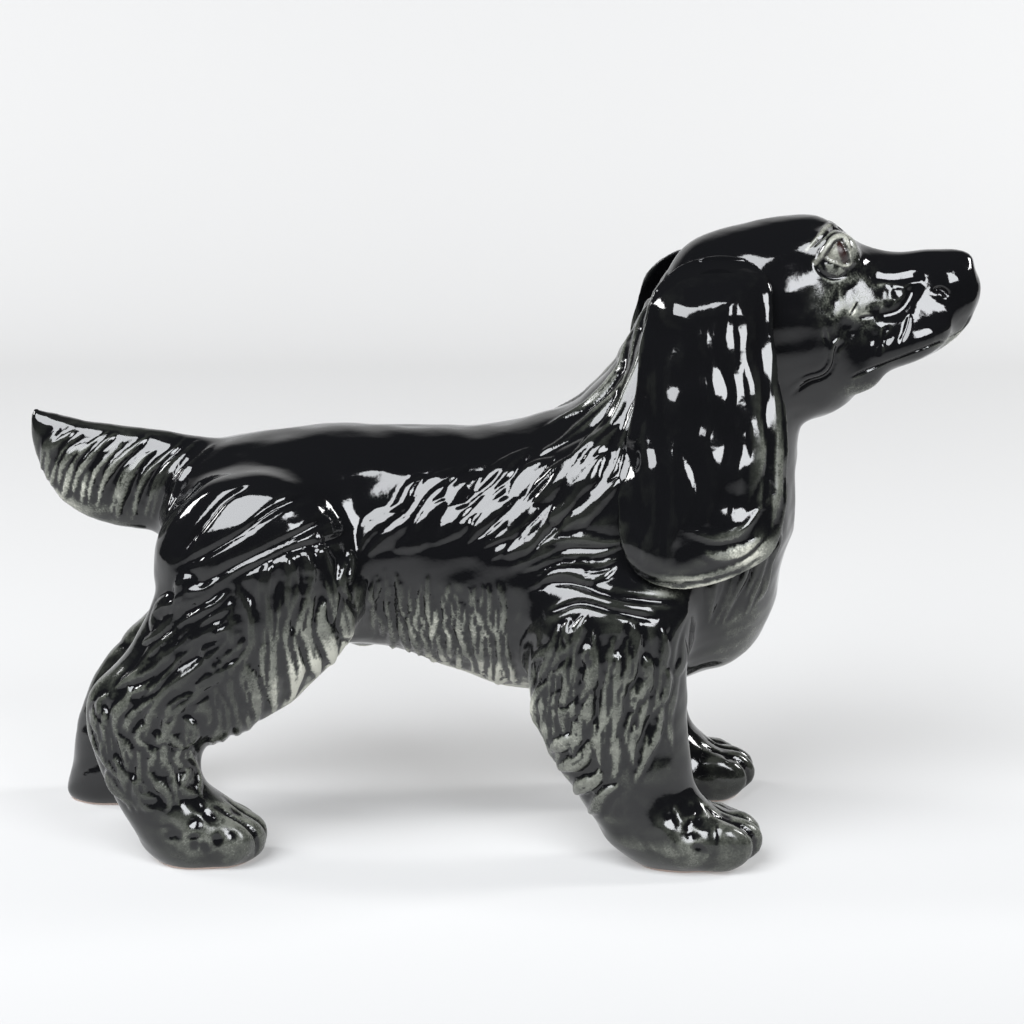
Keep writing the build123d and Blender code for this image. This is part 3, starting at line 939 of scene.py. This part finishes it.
# %% Pieces
JOINTED = {
    "head": (lambda c: c[2] > 110 and c[0] < 110, (150, 0, 190)),
    "tail": (lambda c: c[0] < -84 and c[2] > 85 and abs(c[1]) < 30, (-152, 0, 135)),
    "right_foreleg": (lambda c: -12 < c[0] < 90 and c[1] < -8 and c[2] < 105, (74, -34, 8)),
    "left_foreleg": (lambda c: -12 < c[0] < 94 and c[1] > 8 and c[2] < 105, (78, 34, 8)),
    "right_hind_leg": (lambda c: -145 < c[0] < -30 and c[1] < -6 and c[2] < 125, (-90, -31, 8)),
    "left_hind_leg": (lambda c: -165 < c[0] < -30 and c[1] > 6 and c[2] < 125, (-128, 31, 8)),
}
layer = dog.data.attributes.new("skin_normal", "FLOAT_VECTOR", "POINT")
_, _, normals = points_of(dog.data)
layer.data.foreach_set("vector", normals.astype(np.float32).ravel())

body = bmesh.new()
body.from_mesh(dog.data)
piece_layer = body.faces.layers.int.new("piece")
for name, (nearby, _) in JOINTED.items():
    way, inner, outer = flats_of(name + "_slip")
    for level in (inner, outer):
        band = [
            face
            for face in body.faces
            if abs(face.verts[0].co.dot(Vector(way)) / MM - level) < 4 and nearby(face.verts[0].co / MM)
        ]
        around = {edge for face in band for edge in face.edges}
        corners = {vert for face in band for vert in face.verts}
        cut = bmesh.ops.bisect_plane(
            body,
            geom=band + list(around) + list(corners),
            dist=1e-8,
            plane_co=way * level * MM,
            plane_no=way,
        )
        for element in cut["geom_cut"]:
            if isinstance(element, bmesh.types.BMEdge):
                element.seam = True


def spread(first, label):
    """Labels a face and all that hangs together with it inside the cuts. Returns what lies across them."""
    first[piece_layer] = label
    front, across = [first], []
    while front:
        for edge in front.pop().edges:
            for face in edge.link_faces:
                if face[piece_layer]:
                    continue
                if edge.seam:
                    across.append(face)
                else:
                    face[piece_layer] = label
                    front.append(face)
    return across


body.faces.ensure_lookup_table()
finder = BVHTree.FromBMesh(body)
names = ["trunk"]
for name, (_, seed) in JOINTED.items():
    names += [name, name + "_slip"]
    start = body.faces[finder.find_nearest(Vector(seed) * MM)[2]]
    for face in spread(start, len(names) - 2):
        if not face[piece_layer]:
            spread(face, len(names) - 1)
for face in body.faces:
    face.material_index = face[piece_layer]
body.to_mesh(dog.data)
body.free()

bpy.ops.object.select_all(action="DESELECT")
bpy.context.view_layer.objects.active = dog
dog.select_set(True)
bpy.ops.object.mode_set(mode="EDIT")
bpy.ops.mesh.select_all(action="SELECT")
bpy.ops.mesh.separate(type="MATERIAL")
bpy.ops.object.mode_set(mode="OBJECT")


def capped(obj):
    """Closes a cut piece with flat faces."""
    piece = bmesh.new()
    piece.from_mesh(obj.data)
    rims = [edge for edge in piece.edges if edge.is_boundary]
    bmesh.ops.holes_fill(piece, edges=rims, sides=0)
    piece.to_mesh(obj.data)
    piece.free()


def shaded_as_before(obj):
    """Gives each corner of the skin its stored normal, and each corner of a cap the cap's own."""
    mesh = obj.data
    stored = np.empty(len(mesh.vertices) * 3, np.float32)
    mesh.attributes["skin_normal"].data.foreach_get("vector", stored)
    stored = stored.reshape(-1, 3)
    stored /= np.linalg.norm(stored, axis=1)[:, None] + 1e-9
    corner = np.empty(len(mesh.loops), np.int32)
    mesh.loops.foreach_get("vertex_index", corner)
    shading = stored[corner]
    for face in mesh.polygons:
        if face.loop_total > 12:
            shading[face.loop_start : face.loop_start + face.loop_total] = face.normal
    mesh.polygons.foreach_set("use_smooth", np.ones(len(mesh.polygons), bool))
    mesh.normals_split_custom_set(shading)
    mesh.attributes.remove(mesh.attributes["skin_normal"])


pieces = {}
for obj in [o for o in bpy.context.scene.objects if o.type == "MESH" and o.name.startswith("dog")]:
    label = obj.data.attributes["piece"].data[0].value
    pieces[names[label]] = obj
for name, obj in pieces.items():
    capped(obj)
    shaded_as_before(obj)
    obj.name = name + "_form"
    print(name, len(obj.data.polygons), "faces")

# %% [markdown]
# The ears and their pads of slip complete the set. The left ones mirror the right ones.

# %% Ears and pads
def mirrored(obj, name):
    """A copy of a piece on the other side of the dog."""
    twin = bpy.data.objects.new(name, obj.data.copy())
    bpy.context.scene.collection.objects.link(twin)
    copy = bmesh.new()
    copy.from_mesh(twin.data)
    bmesh.ops.scale(copy, vec=(1, -1, 1), verts=copy.verts)
    bmesh.ops.reverse_faces(copy, faces=copy.faces)
    copy.to_mesh(twin.data)
    copy.free()
    return twin


way, inner, outer = flats_of("right_ear_slip")
low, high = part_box("right_ear_slip")
pad_clay = bmesh.new()
turn = Vector(way).to_track_quat("Z", "Y").to_matrix().to_4x4()
place = Matrix.Translation((low + high) / 2) @ turn
PAD_RADIUS = 0.010
bmesh.ops.create_cone(
    pad_clay,
    cap_ends=True,
    segments=64,
    radius1=PAD_RADIUS,
    radius2=PAD_RADIUS,
    depth=(outer - inner) * MM,
    matrix=place,
)
pad_mesh = bpy.data.meshes.new("pad")
pad_clay.to_mesh(pad_mesh)
pad_clay.free()
pad = bpy.data.objects.new("right_ear_slip_form", pad_mesh)
bpy.context.scene.collection.objects.link(pad)
for name in ("thin", "sprayed", "iris", "eye_rim", "lid"):
    set_values(pad.data, name, np.zeros(len(pad.data.vertices)))
ear.name = "right_ear_form"
ear.data.polygons.foreach_set("use_smooth", np.ones(len(ear.data.polygons), bool))
pieces["right_ear"], pieces["right_ear_slip"] = ear, pad
pieces["left_ear"] = mirrored(ear, "left_ear_form")
pieces["left_ear_slip"] = mirrored(pad, "left_ear_slip_form")
print(len(pieces), "pieces in all")

# %% [markdown]
# ## Finishes
# One glaze covers everything: nearly black where it is thick, grey-olive where it thins and chalky
# on the sprayed ridges. The layers of slip wear the same glaze. A small class lets the sums below be
# written as sums.

# %% Node sums
class Value:
    """A number or colour in a material, on which arithmetic lays down nodes."""

    def __init__(self, tree, socket):
        self.tree, self.socket = tree, socket

    def node(self, kind, inputs=(), output=0, **settings):
        """A new node with its settings and inputs. An input is a Value or a plain number."""
        made = self.tree.nodes.new(kind)
        for setting, value in settings.items():
            setattr(made, setting, value)
        for key, value in dict(inputs).items():
            if isinstance(value, Value):
                self.tree.links.new(value.socket, made.inputs[key])
            else:
                made.inputs[key].default_value = value
        return Value(self.tree, made.outputs[output])

    def math(self, operation, other=0.0, third=0.0):
        return self.node("ShaderNodeMath", {0: self, 1: other, 2: third}, operation=operation)

    def __add__(self, other):
        return self.math("ADD", other)

    def __sub__(self, other):
        return self.math("SUBTRACT", other)

    def __mul__(self, other):
        return self.math("MULTIPLY", other)

    def __rsub__(self, other):
        return (self * -1.0) + other

    __radd__, __rmul__ = __add__, __mul__

    def ease(self, low, high):
        """0 below low, 1 above high and a smooth step between them."""
        span = {0: self, 1: low, 2: high, 3: 0.0, 4: 1.0}
        return self.node("ShaderNodeMapRange", span, interpolation_type="SMOOTHSTEP")

    def blend(self, start, end):
        """The colour start where this is 0, and end where it is 1."""
        return self.node("ShaderNodeMix", {0: self, 6: start, 7: end}, output=2, data_type="RGBA")


def glaze(name):
    """A black glaze that breaks pale on the ridges, over a bare foot rim."""
    material = bpy.data.materials.new(name)
    material.use_nodes = True
    tree = material.node_tree
    shader = tree.nodes["Principled BSDF"]
    start = Value(tree, None)
    place = start.node("ShaderNodeTexCoord", output=3)
    height = start.node("ShaderNodeSeparateXYZ", {0: place}, output=2)

    def attribute(of):
        return start.node("ShaderNodeAttribute", output=2, attribute_name=of)

    def noise(scale, detail=3.0, roughness=0.55):
        settings = {"Vector": place, "Scale": scale, "Detail": detail, "Roughness": roughness}
        return start.node("ShaderNodeTexNoise", settings)

    cloud, blot, grain = noise(70.0), noise(260.0, 3.0, 0.65), noise(1500.0, 3.0, 0.7)
    sprayed = attribute("sprayed")
    mottle = (cloud - 0.5) * 1.6 + (blot - 0.5) * 1.2 + (grain - 0.5) * 1.8
    thin = attribute("thin") + mottle * sprayed.ease(0.0, 0.7) * 0.8 + (blot - 0.62) * 0.25
    black, olive = (0.0035, 0.0036, 0.0042, 1), (0.035, 0.038, 0.031, 1)
    grey, chalk = (0.15, 0.155, 0.132, 1), (0.5, 0.5, 0.43, 1)
    colour = thin.ease(0.05, 0.75).blend(black, olive)
    colour = thin.ease(0.4, 1.1).blend(colour, grey)
    colour = thin.ease(0.95, 1.6).blend(colour, chalk)
    speckled_lid = attribute("lid") * (0.8 + (blot - 0.5) * 1.5 + (grain - 0.5) * 1.5)
    colour = speckled_lid.blend(colour, (0.33, 0.33, 0.28, 1))
    colour = attribute("eye_rim").blend(colour, (0.004, 0.004, 0.004, 1))
    colour = attribute("iris").blend(colour, (0.02, 0.009, 0.008, 1))
    bare = 1.0 - (height * 1000.0 + (cloud - 0.5) * 1.2).ease(0.7, 1.3)
    colour = bare.blend(colour, (0.55, 0.42, 0.36, 1))
    tree.links.new(colour.socket, shader.inputs["Base Color"])
    rough = bare * 0.6 + (thin.ease(0.15, 1.0) * 0.34 + 0.06)
    tree.links.new(rough.socket, shader.inputs["Roughness"])
    shader.inputs["IOR"].default_value = 1.56
    skin = (noise(240.0, 2.0) - 0.5) * 0.5 + (grain - 0.5) * (0.05 + sprayed * 0.25)
    bump = start.node("ShaderNodeBump", {"Height": skin, "Strength": 0.12, "Distance": 0.001})
    tree.links.new(bump.socket, shader.inputs["Normal"])
    return material


finishes = {"black_glaze": glaze("black glaze"), "slip": glaze("glazed slip")}
for name, obj in pieces.items():
    slot = "slip" if name.endswith("_slip") else "black_glaze"
    obj.data.materials.clear()
    obj.data.materials.append(finishes[slot])
    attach(obj, "root")
    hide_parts(name)
print("finishes on", len(pieces), "pieces")

# %% [markdown]
# ## Light
# A sheet of white paper runs under the dog and up behind it. A painted shade darkens its colour and
# glow towards the viewer, so that its reflection in the legs has no hard edge. Two soft windows on the
# viewer's side draw the bluish-white patches on the glaze: a large one high on the left, a smaller
# one to the right. A lit dome would be simpler, but it would grey the glaze, so the room beyond the
# windows stays dark.

# %% Room and lights
def softbox(name, place, target, size, power, colour=(1, 1, 1)):
    """A rectangular lamp that looks at a target."""
    lamp = bpy.data.lights.new(name, "AREA")
    lamp.shape, lamp.size, lamp.size_y = "RECTANGLE", *size
    lamp.energy, lamp.color = power, colour
    obj = bpy.data.objects.new(name, lamp)
    obj.location = place
    obj.rotation_euler = (Vector(target) - Vector(place)).to_track_quat("-Z", "Y").to_euler()
    bpy.context.scene.collection.objects.link(obj)


BEND, BEND_START, HALF_WIDTH = 0.4, 1.0, 2.5
sweep = [(y, 0.0) for y in (-0.8, 0.2, 0.6, BEND_START)]
for angle in np.linspace(0.1, math.pi / 2, 14):
    sweep.append((BEND_START + BEND * math.sin(angle), BEND * (1 - math.cos(angle))))
sweep.append((BEND_START + BEND, 0.62))
sheet = bmesh.new()
bmesh.ops.create_grid(sheet, x_segments=1, y_segments=len(sweep) - 1, size=1.0)
for vert in sheet.verts:
    row = round((vert.co.y + 1) / 2 * (len(sweep) - 1))
    vert.co = (HALF_WIDTH * vert.co.x, *sweep[row])
backdrop = bpy.data.meshes.new("sweep")
sheet.to_mesh(backdrop)
sheet.free()
backdrop.polygons.foreach_set("use_smooth", np.ones(len(backdrop.polygons), bool))
sweep_obj = bpy.data.objects.new("sweep", backdrop)
bpy.context.scene.collection.objects.link(sweep_obj)
paper = bpy.data.materials.new("white paper")
paper.use_nodes = True
surface = paper.node_tree.nodes["Principled BSDF"]
start = Value(paper.node_tree, None)
forward = start.node("ShaderNodeSeparateXYZ", {0: start.node("ShaderNodeTexCoord", output=3)}, output=1)
# The paper's colour and glow fade to black towards the viewer: a painted shade.
lit = forward.ease(-0.88, 0.05)
paper_tone_and_shade = lit.blend((0, 0, 0, 1), (0.37, 0.37, 0.369, 1))
glow = lit.blend((0, 0, 0, 1), (1, 1, 1, 1))
paper.node_tree.links.new(paper_tone_and_shade.socket, surface.inputs["Base Color"])
paper.node_tree.links.new(glow.socket, surface.inputs["Emission Color"])
surface.inputs["Roughness"].default_value = 0.95
surface.inputs["Specular IOR Level"].default_value = 0.0
surface.inputs["Emission Strength"].default_value = 0.24
backdrop.materials.append(paper)
DAYLIGHT = (0.95, 0.97, 1.0)
softbox("high window", (-0.6, -0.9, 1.2), (-0.02, 0, 0.12), (1.15, 1.1), 48, DAYLIGHT)
softbox("right window", (0.8, -1.25, 0.9), (0.1, 0, 0.18), (0.6, 0.75), 21, DAYLIGHT)
softbox("lamp on the sweep, right", (1.5, 0.3, 1.1), (0.9, 1.2, 0.0), (0.5, 0.5), 27)
softbox("lamp on the sweep, left", (-1.5, 0.3, 1.1), (-0.9, 1.2, 0.0), (0.5, 0.5), 21)
world = bpy.data.worlds.new("room")
bpy.context.scene.world = world
world.use_nodes = True
tree = world.node_tree
start = Value(tree, None)
way_out = start.node("ShaderNodeTexCoord", output=0)
depth = start.node("ShaderNodeSeparateXYZ", {0: way_out}, output=1)
behind = depth.ease(0.55, 0.85)
tree.nodes["Background"].inputs["Color"].default_value = (1, 1, 1, 1)
strength = behind * 0.8 + 0.03
tree.links.new(strength.socket, tree.nodes["Background"].inputs["Strength"])
scene = bpy.context.scene
scene.view_settings.view_transform = "Standard"
print("lit")

# %% [markdown]
# ## End

# %% Finish
print("finished")
